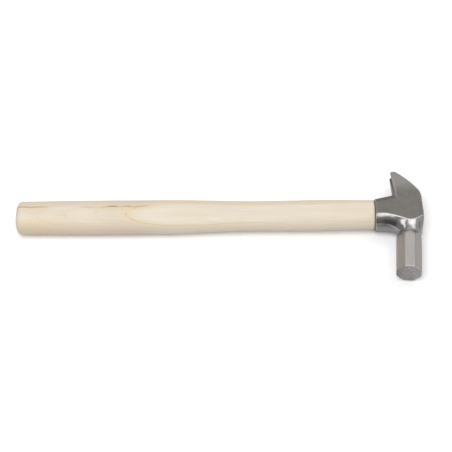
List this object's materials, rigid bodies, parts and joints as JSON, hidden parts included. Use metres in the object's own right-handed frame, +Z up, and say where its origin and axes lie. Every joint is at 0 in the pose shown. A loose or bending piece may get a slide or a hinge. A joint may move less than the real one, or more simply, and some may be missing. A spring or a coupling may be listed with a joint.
{
  "type": "farrier hammer",
  "caption": "Farrier's driving hammer with a forged head, V-slotted nail claw, eight-sided poll, and an oval ash handle wedged in the eye.",
  "frame": {"origin": "centre of the bounding box's base, on the surface that the hammer lies on", "axes": "+X along the handle from the butt to the head, +Y from the striking face to the claw, +Z up, square to the flat cheeks"},
  "size_m": [0.355, 0.107, 0.024],
  "materials": {
    "head_steel": "ground cheeks and poll facets, polished socket and neck",
    "handle_ash": "sanded pale ash, unvarnished",
    "wedge_wood": "sawn hardwood end",
    "wedge_steel": "plain rolled steel"
  },
  "bodies": {
    "root": {"head": "head_steel", "handle": "handle_ash", "wooden_wedge": "wedge_wood", "steel_wedge_claw_side": "wedge_steel", "steel_wedge_poll_side": "wedge_steel"}
  },
  "joints": []
}
